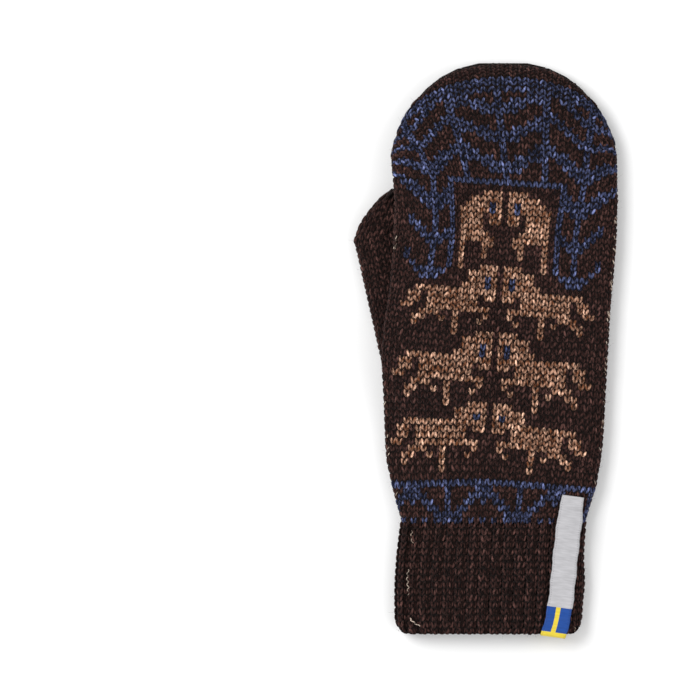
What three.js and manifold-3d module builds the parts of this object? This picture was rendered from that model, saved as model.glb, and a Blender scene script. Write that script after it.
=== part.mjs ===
// A knitted wool mitten lying flat with its back up, fingers towards +Y, thumb under the palm at -X.
// Millimetres. The modelling origin is the middle of the wrist on the table; the last lines move
// the whole mitten so that its own box stands on the origin.
import * as THREE from "three";
import Module from "manifold-3d";

// Hand: the big tube, as it lies. It is two knitted panels, back and palm, sewn together at the sides.
const HAND_LENGTH = 219.5; // wrist to finger end
const HAND_WIDTH = 108.8; // across the palm
const HAND_HEIGHT = 15.5; // two walls and the slack between them
const HAND_LEAN = 6; // how far the finger end lies to the right of the wrist
const HAND_WALL = 3; // knitted with a carried second yarn
const ROUND_TOP = 44.5; // length of the round finger end

// Wrist and cuff.
const WRIST_WIDTH = 87.4;
const CUFF_LENGTH = 53;
const CUFF_WIDTH = 89.6; // at its widest
const CUFF_HEIGHT = 14;
const CUFF_LEAN = -2.4; // how far the hem lies from the middle of the wrist
const CUFF_WALL = 3.2;
const CUFF_CORNER = 5.5; // radius of the hem's corners, seen from above
const CUFF_RIBS = 34; // ribs all the way round
const RIB_DEPTH = 0.9; // crest to furrow
const SEAM_INSET = 5.2; // from the cuff's side edge in to its seam
const SEAM_DEPTH = 0.9;
const SEAM_WIDTH = 1.6;

// Thumb: a smaller tube, flattened between palm and table.
const THUMB_LENGTH = 102.7; // from the middle of its hole to its tip
const THUMB_WIDTH = 36;
const THUMB_HEIGHT = 11.4;
const THUMB_WALL = 2.8;
const THUMB_TIP = 21; // length of its narrowing end
const THUMB_TIP_SHIFT = 9; // how far the tip turns in under the hand
const THUMB_TIP_FALL = 0.75; // the narrowing end's half width is (1 - t^2)^THUMB_TIP_FALL
const THUMB_TURN = 12.7; // degrees that its tip turns away from the fingers
const THUMB_ALONG = 59; // wrist to the middle of the thumb hole
const THUMB_INSET = 21.5; // from the hand's side edge in to the middle of the thumb hole
const THUMB_ROOT = 20; // length of the gathered root that runs back through the hole
const ROOT_GATHER = 0.18; // share of the thumb's width lost along the root

// Where the palm climbs over the thumb.
const CLIMB_LENGTH = 27; // along the hand, at the thumb's root
const CLIMB_SIDE = 30; // across the hand, beside the thumb
const CLIMB_MARGIN = 1.5; // from the thumb's side to where the palm starts to come down
const CLIMB_END = 42; // along the hand, past the thumb's tip

// Ribbon label.
const LABEL_WIDTH = 11.5;
const LABEL_THICKNESS = 0.6;
const LABEL_INSET = 6.4; // from the wrist's side edge in to the middle of its upper end
const LABEL_TOP_Y = 11.6; // its upper end, from the wrist
const LABEL_TURN = 7.2; // degrees off the cuff's own direction
const LABEL_TAIL = 10; // tucked in behind the hem
const LABEL_FOLD = 1.3; // how far the fold stands past the hem

const GAP = 0.3; // clearance where two pieces meet
const CREST_POWER = 3; // roundness of a lying tube's upper side: 2 is an ellipse
const BELLY_POWER = 4; // the same for its lower side
const BELLY_FLAT = 0.9; // the share of the lower half height where it lies flat on the table
const TOP_RISE = 1.5; // the finger end's outline is half = (1 - t^TOP_RISE)^TOP_FALL
const TOP_FALL = 0.4;
const THIN_POWER = 5; // a narrowing end is thinned by (1 - t^THIN_POWER)^THIN_ROOT
const THIN_ROOT = 0.5;
const TIP_SHARE = 0.995; // where along a narrowing end the last ring lies
const CUT_MARGIN = 10; // how far the cut between the panels runs past the hand

// Number of faces.
const HAND_SIDES = 44;
const THUMB_SIDES = 28;
const FACETS_PER_RIB = 4;
const CUFF_SAMPLES = 96; // points that the cuff's smooth section is drawn through
const TOP_RINGS = 8;
const THUMB_TIP_RINGS = 6;
const SIDE_SEAM_STEPS = 30;
const LABEL_STEPS = 12;
const FOLD_STEPS = 6;

// The hand's outline from the wrist to where the finger end starts. along is a share of that
// length. swell is 0 where the tube is as wide and high as the wrist and 1 where it has the hand's
// full size. lean is a share of HAND_LEAN.
const HAND_SECTIONS = [
  { along: 0.0, swell: 0.0, lean: 0.0 },
  { along: 0.045, swell: 0.22, lean: 0.0 },
  { along: 0.1, swell: 0.48, lean: 0.04 },
  { along: 0.175, swell: 0.71, lean: 0.0 },
  { along: 0.25, swell: 0.8, lean: 0.04 },
  { along: 0.35, swell: 0.87, lean: 0.06 },
  { along: 0.45, swell: 0.965, lean: 0.05 },
  { along: 0.54, swell: 0.94, lean: 0.24 },
  { along: 0.64, swell: 0.88, lean: 0.58 },
  { along: 0.75, swell: 0.89, lean: 0.86 },
  { along: 0.87, swell: 0.89, lean: 0.98 },
  { along: 1.0, swell: 0.95, lean: 0.8 },
];

// The cuff's outline from the wrist to the hem. flare is 0 at the wrist's width and 1 at the
// cuff's. lean is a share of CUFF_LEAN.
const CUFF_SECTIONS = [
  { along: 0.0, flare: 0.0, lean: 0.0 },
  { along: 0.3, flare: 0.4, lean: 0.65 },
  { along: 0.55, flare: 1.0, lean: 0.75 },
  { along: 0.85, flare: 0.5, lean: 1.0 },
  { along: 1.0, flare: 0.3, lean: 1.0 },
];

const wasm = await Module();
wasm.setup();

const radians = (degrees) => (degrees * Math.PI) / 180;
const mix = THREE.MathUtils.lerp;
const ease = (from, to, at) => THREE.MathUtils.smoothstep(at, from, to);

// A column of a table at a share of its length, on a smooth curve through its rows.
function column(table, name, along) {
  const at = THREE.MathUtils.clamp(along, 0, 1);
  const next = Math.max(1, table.findIndex((row) => row.along >= at));
  const before = table[Math.max(next - 2, 0)];
  const low = table[next - 1];
  const high = table[next];
  const after = table[Math.min(next + 1, table.length - 1)];
  const span = high.along - low.along;
  const t = (at - low.along) / span;
  const slopeLow = (span * (high[name] - before[name])) / (high.along - before.along);
  const slopeHigh = (span * (after[name] - low[name])) / (after.along - low.along);
  return (
    (2 * t ** 3 - 3 * t ** 2 + 1) * low[name] +
    (t ** 3 - 2 * t ** 2 + t) * slopeLow +
    (3 * t ** 2 - 2 * t ** 3) * high[name] +
    (t ** 3 - t ** 2) * slopeHigh
  );
}

// The lying tube at a distance y from the wrist: half its width, its height and its middle.
// inset is how far inside the knitted surface the section lies.
function tubeAt(y, inset = 0) {
  if (y < 0) {
    const along = -y / CUFF_LENGTH;
    return {
      half: mix(WRIST_WIDTH, CUFF_WIDTH, column(CUFF_SECTIONS, "flare", along)) / 2 - inset,
      height: CUFF_HEIGHT,
      middle: CUFF_LEAN * column(CUFF_SECTIONS, "lean", along),
    };
  }
  const straight = HAND_LENGTH - ROUND_TOP;
  const along = y / straight;
  const swell = column(HAND_SECTIONS, "swell", along);
  const full = mix(WRIST_WIDTH, HAND_WIDTH, swell) / 2 - inset;
  const t = THREE.MathUtils.clamp((y - straight) / (ROUND_TOP - inset), 0, 1);
  const narrowing = (1 - t ** TOP_RISE) ** TOP_FALL;
  const thinning = (1 - t ** THIN_POWER) ** THIN_ROOT;
  return {
    half: full * narrowing,
    height: mix(CUFF_HEIGHT, HAND_HEIGHT, swell) * thinning + 2 * inset * (1 - thinning),
    middle: HAND_LEAN * column(HAND_SECTIONS, "lean", along),
  };
}

const thumbRootX = () => tubeAt(THUMB_ALONG).middle - tubeAt(THUMB_ALONG).half + THUMB_INSET;

// How far the palm is lifted off the table by the thumb that lies under it.
function climbAt(x, y) {
  const slope = Math.tan(radians(THUMB_TURN));
  const axisX = thumbRootX() - (y - THUMB_ALONG) * slope;
  const edge = axisX + (THUMB_WIDTH / 2 + CLIMB_MARGIN) / Math.cos(radians(THUMB_TURN));
  const tipY = THUMB_ALONG + THUMB_LENGTH * Math.cos(radians(THUMB_TURN));
  const start = THUMB_ALONG - CLIMB_LENGTH / 2;
  const beside = 1 - ease(edge, edge + CLIMB_SIDE, x);
  const root = ease(start, start + CLIMB_LENGTH, y);
  const past = 1 - ease(tipY, tipY + CLIMB_END, y);
  return (THUMB_HEIGHT + 2 * GAP) * beside * root * past;
}

// A point on a lying tube's section: rounded on top, flat where it rests. turn runs from the
// right edge over the top to the left edge and back underneath.
function sectionPoint(turn, half, height, inset) {
  const across = Math.cos(turn);
  const up = Math.sin(turn);
  const power = up > 0 ? CREST_POWER : BELLY_POWER;
  const reach = height / (1 + BELLY_FLAT);
  const rise = (reach - inset) * Math.sign(up) * Math.abs(up) ** (2 / power);
  return {
    x: half * Math.sign(across) * Math.abs(across) ** (2 / power),
    z: BELLY_FLAT * reach + Math.max(rise, inset - BELLY_FLAT * reach),
  };
}

// The upper side of the lying tube, where a label can rest.
function topAt(x, y) {
  const { half, height, middle } = tubeAt(y);
  const reach = height / (1 + BELLY_FLAT);
  const share = Math.min(Math.abs(x - middle) / half, TIP_SHARE);
  return BELLY_FLAT * reach + reach * (1 - share ** CREST_POWER) ** (1 / CREST_POWER) + climbAt(x, y);
}

// One closed mesh through a row of rings. Each end closes on a point, or the last ring meets the
// first where looped is set.
function loft(rings, looped, ends = []) {
  const sides = rings[0].length;
  const points = rings.flat();
  const triangles = [];
  const spans = looped ? rings.length : rings.length - 1;
  for (let i = 0; i < spans; i++) {
    for (let j = 0; j < sides; j++) {
      const a = i * sides + j;
      const b = i * sides + ((j + 1) % sides);
      const c = ((i + 1) % rings.length) * sides + ((j + 1) % sides);
      const d = ((i + 1) % rings.length) * sides + j;
      triangles.push(a, c, b, a, d, c);
    }
  }
  if (!looped) {
    const last = (rings.length - 1) * sides;
    const first = points.push(ends[0]) - 1;
    const final = points.push(ends[1]) - 1;
    for (let j = 0; j < sides; j++) {
      triangles.push(first, j, (j + 1) % sides);
      triangles.push(final, last + ((j + 1) % sides), last + j);
    }
  }
  const vertProperties = new Float32Array(points.flatMap((p) => [p.x, p.y, p.z]));
  const triVerts = new Uint32Array(triangles);
  return new wasm.Manifold(new wasm.Mesh({ numProp: 3, vertProperties, triVerts }));
}

function geometryOf(solid) {
  const { vertProperties, triVerts } = solid.getMesh();
  const geometry = new THREE.BufferGeometry();
  geometry.setAttribute("position", new THREE.BufferAttribute(vertProperties, 3));
  geometry.setIndex(new THREE.BufferAttribute(triVerts, 1));
  geometry.computeVertexNormals();
  return geometry;
}

function handRing(y, inset) {
  const { half, height, middle } = tubeAt(y, inset);
  return Array.from({ length: HAND_SIDES }, (_, j) => {
    const point = sectionPoint((2 * Math.PI * j) / HAND_SIDES, half, height, inset);
    const x = middle + point.x;
    return new THREE.Vector3(x, y, point.z + climbAt(x, y));
  });
}

// Where the rings of the hand lie, from the wrist to the finger end.
function handStations(inset, startY) {
  const straight = HAND_LENGTH - ROUND_TOP;
  const stations = HAND_SECTIONS.map((row) => Math.max(row.along * straight, startY));
  for (let k = 1; k <= TOP_RINGS; k++) {
    const t = TIP_SHARE * Math.sin((Math.PI / 2) * (k / TOP_RINGS));
    stations.push(straight + t * (ROUND_TOP - inset));
  }
  return stations;
}

const handRings = (inset, startY) => handStations(inset, startY).map((y) => handRing(y, inset));

function tipPoint(inset) {
  const ring = handRing(HAND_LENGTH - inset, inset);
  const heights = ring.map((p) => p.z);
  const z = (Math.min(...heights) + Math.max(...heights)) / 2;
  return new THREE.Vector3(ring[0].x, HAND_LENGTH - inset, z);
}

// The knitted shell, open at the wrist: from the inside of the tip down to the wrist and back up.
function handShell() {
  const outer = handRings(0, GAP / 2);
  const inner = handRings(HAND_WALL, GAP / 2);
  return loft([...inner.reverse(), ...outer], false, [tipPoint(HAND_WALL), tipPoint(0)]);
}

// All that lies below the two side seams, which follow the tube's widest line from the wrist and
// meet at the finger end.
function belowSeams() {
  const wide = HAND_WIDTH / 2 + HAND_LEAN + CUT_MARGIN;
  const stations = [-CUT_MARGIN, ...handStations(0, 0), HAND_LENGTH + CUT_MARGIN];
  const rings = stations.map((y) => {
    const { height } = tubeAt(THREE.MathUtils.clamp(y, 0, HAND_LENGTH));
    const widest = (BELLY_FLAT * height) / (1 + BELLY_FLAT);
    const line = Array.from({ length: SIDE_SEAM_STEPS + 1 }, (_, j) => {
      const x = mix(wide, -wide, j / SIDE_SEAM_STEPS);
      return new THREE.Vector3(x, y, widest + climbAt(x, y));
    });
    return [...line, new THREE.Vector3(-wide, y, -CUT_MARGIN), new THREE.Vector3(wide, y, -CUT_MARGIN)];
  });
  return loft(rings, false, [rings[0], rings.at(-1)].map(centreOf));
}

// The hand's outer form, filled and a little larger, that the thumb keeps clear of.
function handClearance() {
  const rings = handRings(-GAP, 0);
  const wristMiddle = new THREE.Vector3(0, 0, CUFF_HEIGHT / 2);
  return loft(rings, false, [wristMiddle, tipPoint(-GAP)]);
}

// A filled form along the thumb, from behind its hole to its tip.
function thumbForm(inset, back) {
  const turn = radians(THUMB_TURN);
  const along = new THREE.Vector3(-Math.sin(turn), Math.cos(turn), 0);
  const across = new THREE.Vector3(Math.cos(turn), Math.sin(turn), 0);
  const root = new THREE.Vector3(thumbRootX(), THUMB_ALONG, 0);
  const straight = THUMB_LENGTH - THUMB_TIP;
  const stations = [-back, -back / 2, 0, straight / 3, (2 * straight) / 3, straight];
  for (let k = 1; k <= THUMB_TIP_RINGS; k++) {
    const t = TIP_SHARE * Math.sin((Math.PI / 2) * (k / THUMB_TIP_RINGS));
    stations.push(straight + t * (THUMB_TIP - inset));
  }
  const rings = stations.map((d) => {
    const t = THREE.MathUtils.clamp((d - straight) / (THUMB_TIP - inset), 0, 1);
    const gather = 1 - ROOT_GATHER * ease(0, back, -d);
    const half = (THUMB_WIDTH / 2 - inset) * gather * (1 - t * t) ** THUMB_TIP_FALL;
    const thinning = (1 - t ** THIN_POWER) ** THIN_ROOT;
    const height = THUMB_HEIGHT * thinning + 2 * inset * (1 - thinning);
    return Array.from({ length: THUMB_SIDES }, (_, j) => {
      const point = sectionPoint((2 * Math.PI * j) / THUMB_SIDES, half, height, inset);
      const rootLift = inset > 0 && d < 0 ? GAP : 0;
      return root
        .clone()
        .addScaledVector(along, d)
        .addScaledVector(across, point.x + THUMB_TIP_SHIFT * t)
        .setZ(point.z + rootLift);
    });
  });
  return loft(rings, false, [centreOf(rings[0]), centreOf(rings.at(-1)).addScaledVector(along, GAP)]);
}

// A ring of the ribbed cuff. The ribs are spread evenly round the tube and stand out along its
// normal. The seam is a furrow on the upper side near each edge.
function cuffRing(y, inset) {
  const { half, height, middle } = tubeAt(Math.min(y, -GAP / 2), inset);
  const section = new THREE.CatmullRomCurve3(
    Array.from({ length: CUFF_SAMPLES }, (_, j) => {
      const point = sectionPoint((2 * Math.PI * j) / CUFF_SAMPLES, half, height, inset);
      return new THREE.Vector3(point.x, point.z, 0);
    }),
    true,
  );
  section.arcLengthDivisions = 8 * CUFF_SAMPLES;
  const count = CUFF_RIBS * FACETS_PER_RIB;
  return Array.from({ length: count }, (_, j) => {
    const at = section.getPointAt(j / count);
    const tangent = section.getTangentAt(j / count);
    const wave = (RIB_DEPTH / 2) * Math.cos((2 * Math.PI * j) / FACETS_PER_RIB);
    const onTop = at.y > height / 2 ? 1 : 0;
    const offSeam = (Math.abs(at.x) - (half - SEAM_INSET + inset)) / SEAM_WIDTH;
    const seam = onTop * SEAM_DEPTH * Math.exp(-offSeam * offSeam);
    const resting = at.y < inset + RIB_DEPTH ? 0 : 1;
    const out = wave * resting - seam;
    const x = at.x + out * tangent.y;
    const z = at.y - out * tangent.x;
    const pastCorner = Math.max(0, Math.abs(at.x) - (half - CUFF_CORNER)) / CUFF_CORNER;
    const cornerRise = CUFF_CORNER * (1 - Math.sqrt(Math.max(0, 1 - pastCorner ** 2)));
    const atHem = 1 - ease(-CUFF_LENGTH, -CUFF_LENGTH + 3 * CUFF_CORNER, y);
    return new THREE.Vector3(middle + x, y + cornerRise * atHem, z);
  });
}

function cuffShell() {
  const stations = CUFF_SECTIONS.map((row) => Math.min(-row.along * CUFF_LENGTH, -GAP / 2));
  const outer = stations.map((y) => cuffRing(y, 0)).reverse();
  const inner = stations.map((y) => cuffRing(y, CUFF_WALL));
  return loft([...outer, ...inner], true);
}

// The ribbon, from its upper end down over the cuff, round the hem and up behind it.
function labelStrip() {
  const turn = radians(LABEL_TURN);
  const down = new THREE.Vector3(-Math.sin(turn), -Math.cos(turn), 0);
  const run = (CUFF_LENGTH + LABEL_TOP_Y) / Math.cos(turn);
  const clear = 2 * GAP + RIB_DEPTH / 2 + LABEL_THICKNESS / 2;
  const top = new THREE.Vector3(WRIST_WIDTH / 2 - LABEL_INSET, LABEL_TOP_Y, 0);
  const stations = [];
  const place = (distance) => {
    const at = top.clone().addScaledVector(down, distance);
    const slope = (topAt(at.x + 1, at.y) - topAt(at.x - 1, at.y)) / 2;
    return { at: at.setZ(topAt(at.x, at.y) + clear), slope };
  };
  for (let k = 0; k <= LABEL_STEPS; k++) {
    stations.push({ ...place((run * k) / LABEL_STEPS), lean: 0 });
  }
  const hem = place(run);
  const drop = CUFF_WALL / 2 + clear + GAP;
  for (let k = 1; k < FOLD_STEPS; k++) {
    const lean = (Math.PI * k) / FOLD_STEPS;
    const at = hem.at.clone().addScaledVector(down, LABEL_FOLD * Math.sin(lean));
    at.z += drop * (Math.cos(lean) - 1);
    stations.push({ at, slope: hem.slope, lean });
  }
  for (const back of [0, LABEL_TAIL / 2, LABEL_TAIL]) {
    const { at, slope } = place(run - back);
    at.z -= 2 * drop;
    stations.push({ at, slope, lean: Math.PI });
  }
  const rings = stations.map(({ at, slope, lean }) => {
    const side = new THREE.Vector3(Math.cos(turn), -Math.sin(turn), slope);
    const face = new THREE.Vector3(0, 0, Math.cos(lean)).addScaledVector(down, Math.sin(lean));
    const corner = (s, f) =>
      at
        .clone()
        .addScaledVector(side, (s * LABEL_WIDTH) / 2)
        .addScaledVector(face, (f * LABEL_THICKNESS) / 2);
    return [corner(1, -1), corner(-1, -1), corner(-1, 1), corner(1, 1)];
  });
  return loft(rings, false, [rings[0], rings.at(-1)].map(centreOf));
}

function centreOf(ring) {
  const sum = ring.reduce((total, p) => total.add(p), new THREE.Vector3());
  return sum.divideScalar(ring.length);
}

const darkWool = new THREE.MeshStandardMaterial({ color: "#33211e", roughness: 0.95, metalness: 0 });
const ribWool = new THREE.MeshStandardMaterial({ color: "#2e1d1a", roughness: 0.95, metalness: 0 });
const satin = new THREE.MeshStandardMaterial({ color: "#c9c9ca", roughness: 0.45, metalness: 0 });

const thumbHollow = thumbForm(THUMB_WALL, THUMB_ROOT + CLIMB_LENGTH / 4);
const hand = handShell().subtract(thumbHollow);
const seamGap = [0, 0, GAP / 2];
const pieces = [
  { name: "hand_back", material: darkWool, solid: hand.subtract(belowSeams().translate(seamGap)) },
  {
    name: "hand_palm",
    material: darkWool,
    solid: hand.intersect(belowSeams().translate(seamGap.map((v) => -v))),
  },
  {
    name: "thumb",
    material: darkWool,
    solid: thumbForm(0, THUMB_ROOT).subtract(thumbHollow).subtract(handClearance()),
  },
  { name: "cuff", material: ribWool, solid: cuffShell() },
  { name: "label", material: satin, solid: labelStrip() },
];

const mitten = new THREE.Group();
for (const { name, material, solid } of pieces) {
  const mesh = new THREE.Mesh(geometryOf(solid), material);
  mesh.name = name;
  mitten.add(mesh);
}

// The origin is the middle of the mitten's box, on the table.
const box = new THREE.Box3().setFromObject(mitten, true);
const middle = box.getCenter(new THREE.Vector3());
mitten.position.set(-middle.x, -middle.y, -box.min.z);

export default mitten;
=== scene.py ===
import math

import bpy
import numpy as np
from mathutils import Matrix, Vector
from mathutils.bvhtree import BVHTree


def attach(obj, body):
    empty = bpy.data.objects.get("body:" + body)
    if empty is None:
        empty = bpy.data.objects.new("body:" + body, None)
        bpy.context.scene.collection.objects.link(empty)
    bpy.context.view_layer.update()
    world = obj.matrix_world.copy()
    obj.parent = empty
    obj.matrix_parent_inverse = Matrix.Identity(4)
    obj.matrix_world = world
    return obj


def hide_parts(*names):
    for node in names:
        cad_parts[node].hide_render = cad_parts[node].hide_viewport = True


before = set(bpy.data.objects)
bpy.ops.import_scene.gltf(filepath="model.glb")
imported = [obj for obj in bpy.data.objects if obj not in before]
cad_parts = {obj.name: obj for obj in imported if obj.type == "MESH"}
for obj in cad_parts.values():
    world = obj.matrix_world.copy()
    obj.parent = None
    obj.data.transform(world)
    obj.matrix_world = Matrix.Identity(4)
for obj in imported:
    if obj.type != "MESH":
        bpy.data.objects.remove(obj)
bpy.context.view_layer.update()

# The hand is the big tube of the mitten, knitted in stocking stitch from three lambswool yarns: a
# dark brown ground, a marled blue and a marled tan. It is built stitch by stitch, each stitch two
# bent legs of yarn, laid over a dark backing that stands for the yarns carried behind them, its
# brown darkened further as painted shade between the stitches.
MM = 0.001
rng = np.random.default_rng(11)


def linear(hex_colour):
    """An sRGB hex value as the three linear numbers that a shader reads."""
    parts = [int(hex_colour[i : i + 2], 16) / 255 for i in (1, 3, 5)]
    return [p / 12.92 if p <= 0.04045 else ((p + 0.055) / 1.055) ** 2.4 for p in parts]


def unit(vectors):
    """Each vector of an array at length one."""
    return vectors / np.maximum(np.linalg.norm(vectors, axis=-1, keepdims=True), 1e-12)


def blend(low, high, share):
    """Part of the way from low to high."""
    return low + (high - low) * share


def new_mesh(name, points, faces, colours=None):
    """An object from an array of points, a list of arrays of faces and a colour for each point."""
    mesh = bpy.data.meshes.new(name)
    mesh.vertices.add(len(points))
    mesh.vertices.foreach_set("co", np.asarray(points, dtype=np.float32).ravel())
    sizes = np.concatenate([np.full(len(f), f.shape[1]) for f in faces])
    corners = np.concatenate([f.ravel() for f in faces])
    mesh.loops.add(len(corners))
    mesh.loops.foreach_set("vertex_index", corners.astype(np.int32))
    mesh.polygons.add(len(sizes))
    starts = np.concatenate([[0], np.cumsum(sizes)[:-1]])
    mesh.polygons.foreach_set("loop_start", starts.astype(np.int32))
    mesh.polygons.foreach_set("use_smooth", np.ones(len(sizes), dtype=bool))
    mesh.update(calc_edges=True)
    if colours is not None:
        # The colours are stored as the attribute dye; for the stitches they hold the yarn's colour with
        # painted shade worked in.
        layer = mesh.color_attributes.new("dye", "FLOAT_COLOR", "POINT")
        rgba = np.ones((len(points), 4), dtype=np.float32)
        rgba[:, :3] = colours
        layer.data.foreach_set("color", rgba.ravel())
    piece = bpy.data.objects.new(name, mesh)
    bpy.context.collection.objects.link(piece)
    return piece


# A tube is measured at SLICES places along it, the outermost ones SLICE_IN from its ends. The points of
# a row crowd toward the tube's edge and stop at LAST_TURN of a quarter turn. Over the thumb hole a
# plumb line from below meets the back panel, less than HOLE_GAP under the top, and such points are
# bridged.
SLICES = 560
SLICE_IN = 0.05 * MM
HALVINGS = 26
LAST_TURN = math.radians(87)
HOLE_GAP = 6 * MM
HOLE_TOP_Y = 20 * MM
HOLE_SHARE = 0.8


class Tube:
    """The outer surface of a lying tube, read from its CAD solids. turned is the angle by which the
    tube's own length leans away from +Y."""

    def __init__(self, *nodes, turned=0.0):
        points, faces = [], []
        for node in nodes:
            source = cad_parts[node]
            source.data.calc_loop_triangles()
            start = len(points)
            points += [source.matrix_world @ v.co for v in source.data.vertices]
            faces += [tuple(start + i for i in t.vertices) for t in source.data.loop_triangles]
        self.turned = turned
        self.points = self.to_own(np.array(points))
        self.tree = BVHTree.FromPolygons([Vector(p) for p in self.points], faces)
        ends = self.points[np.array([(a, b) for f in faces for a, b in zip(f, f[1:] + f[:1])])]
        low, high = self.points[:, 1].min(), self.points[:, 1].max()
        self.along = np.linspace(low + SLICE_IN, high - SLICE_IN, SLICES)
        self.left = np.empty(len(self.along))
        self.right = np.empty(len(self.along))
        rise = ends[:, 1, 1] - ends[:, 0, 1]
        for i, y in enumerate(self.along):
            crossing = (ends[:, 0, 1] - y) * (ends[:, 1, 1] - y) < 0
            share = (y - ends[crossing, 0, 1]) / rise[crossing]
            x = blend(ends[crossing, 0, 0], ends[crossing, 1, 0], share)
            self.left[i], self.right[i] = x.min(), x.max()

    def rotated(self, points, angle):
        c, s = math.cos(angle), math.sin(angle)
        turn = np.array([[c, s, 0], [-s, c, 0], [0, 0, 1]])
        return points @ turn

    def to_own(self, points):
        return self.rotated(points, -self.turned)

    def to_world(self, points):
        return self.rotated(points, self.turned)

    def height(self, x, y, down):
        """Where a plumb line at x, y meets the tube, from above or from below."""
        start, way = (1.0, -1.0) if down else (-1.0, 1.0)
        y = min(max(y, self.along[0]), self.along[-1])
        hit = self.tree.ray_cast(Vector((x, y, start)), Vector((0, 0, way)))[0]
        return np.nan if hit is None else hit.z

    def edge(self, row_y, middle, side):
        """The x at which a row's line runs off the tube's outline, on side -1 or 1."""
        limits = self.right if side > 0 else self.left
        near, far = middle, limits.max() if side > 0 else limits.min()
        for _ in range(HALVINGS):
            x = (near + far) / 2
            y = np.clip(row_y(x), self.along[0], self.along[-1])
            inside = side * (x - np.interp(y, self.along, limits)) < 0 and row_y(x) < self.along[-1]
            near, far = (x, far) if inside else (near, x)
        return near

    def loop(self, row_y, middle, steps=24):
        """One knitted row once round the tube: points from the middle of its upper side to the
        right, and the length along them. Returns them with the two lengths at the tube's edges."""
        upper, lower = {}, {}
        for side in (1, -1):
            edge = self.edge(row_y, middle, side)
            share = np.sin(np.linspace(0, 1, steps) * LAST_TURN)
            x = middle + (edge - middle) * share
            y = np.array([row_y(v) for v in x])
            top = np.array([self.height(a, b, True) for a, b in zip(x, y)])
            under = np.array([self.height(a, b, False) for a, b in zip(x, y)])
            under[(top - under < HOLE_GAP) & (share < HOLE_SHARE) & (y < HOLE_TOP_Y)] = np.nan
            for z in (top, under):
                missing = np.isnan(z)
                z[missing] = np.interp(x[missing] * side, x[~missing] * side, z[~missing])
            rim = [edge, row_y(edge), (top[-1] + under[-1]) / 2]
            upper[side] = np.vstack([np.column_stack([x, y, top]), rim])
            lower[side] = np.column_stack([x, y, under])[::-1]
        points = np.vstack([upper[1], lower[1], lower[-1][::-1][1:], upper[-1][::-1]])
        arc = np.concatenate([[0], np.cumsum(np.linalg.norm(np.diff(points, axis=0), axis=1))])
        return points, arc, arc[steps], arc[-1] - arc[-1 - steps]


def on_loop(loop, arc):
    """The points at the given lengths along a loop, which may run past its start."""
    points, lengths = loop[:2]
    at = np.mod(arc, lengths[-1])
    return np.column_stack([np.interp(at, lengths, points[:, k]) for k in range(3)])


# How the rows lie on the back of the hand, from the wrist to the finger end. along is the distance
# from the wrist and axis how far the middle column lies to the right of the mitten's middle, both in
# millimetres. left and right are the width of a stitch on either side of it. fall is the slope of a
# row down to the right and sag its slope down to both sides, in degrees, and bow how far its ends
# hang round the finger end, as a share of BOW_DEPTH.
HAND_ROWS = [
    {"row": -0.5, "along": -0.6, "axis": -1.9, "left": 2.73, "right": 2.73, "fall": 0, "sag": 0, "bow": 0},
    {"row": 6, "along": 19.3, "axis": -0.9, "left": 2.9, "right": 2.9, "fall": 1.2, "sag": 4, "bow": 0},
    {"row": 9, "along": 29.0, "axis": -0.4, "left": 2.98, "right": 3.02, "fall": 2.5, "sag": 3, "bow": 0},
    {"row": 14, "along": 43.6, "axis": 0.8, "left": 3.0, "right": 3.1, "fall": 4.8, "sag": 3.5, "bow": 0},
    {"row": 18, "along": 55.4, "axis": 1.7, "left": 3.06, "right": 3.1, "fall": 4.8, "sag": 1, "bow": 0},
    {"row": 24, "along": 73.5, "axis": 3.4, "left": 3.2, "right": 3.1, "fall": 4.5, "sag": -1.5, "bow": 0},
    {"row": 29, "along": 89.0, "axis": 4.7, "left": 3.2, "right": 3.06, "fall": 4.5, "sag": -1.5, "bow": 0},
    {"row": 35, "along": 105.9, "axis": 5.9, "left": 3.15, "right": 2.98, "fall": 4.6, "sag": 0, "bow": 0},
    {"row": 40, "along": 120.5, "axis": 7.0, "left": 3.0, "right": 2.88, "fall": 4.3, "sag": 0, "bow": 0},
    {"row": 46.5, "along": 138.1, "axis": 8.3, "left": 2.88, "right": 2.85, "fall": 3.8, "sag": 0, "bow": 0},
    {"row": 55, "along": 161.3, "axis": 9.7, "left": 3.04, "right": 3.04, "fall": 3.8, "sag": 0, "bow": 0},
    {"row": 62, "along": 182.0, "axis": 7.6, "left": 3.42, "right": 3.42, "fall": 1, "sag": 0, "bow": 0.35},
    {"row": 69.5, "along": 202.2, "axis": 5.2, "left": 3.94, "right": 3.94, "fall": 0, "sag": 0, "bow": 0.75},
    {"row": 72, "along": 209.0, "axis": 4.8, "left": 4.1, "right": 4.1, "fall": 0, "sag": 0, "bow": 0.85},
    {"row": 74.5, "along": 214.4, "axis": 4.5, "left": 4.2, "right": 4.2, "fall": 0, "sag": 0, "bow": 0.95},
    {"row": 76.5, "along": 217.4, "axis": 4.4, "left": 4.3, "right": 4.3, "fall": 0, "sag": 0, "bow": 1},
    {"row": 78, "along": 218.8, "axis": 4.3, "left": 4.3, "right": 4.3, "fall": 0, "sag": 0, "bow": 1},
]
HAND_COUNT = 78
BOW_DEPTH = 36 * MM
BOW_LIMIT = 0.98
SAG_SOFT = 9 * MM
# A stitch's yarn is an oval of these half sizes, its middle YARN_INSET below the face of the cloth.
LEG_WIDE = 0.68 * MM
LEG_FLAT = 0.60 * MM
YARN_INSET = 0.75 * MM

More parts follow.
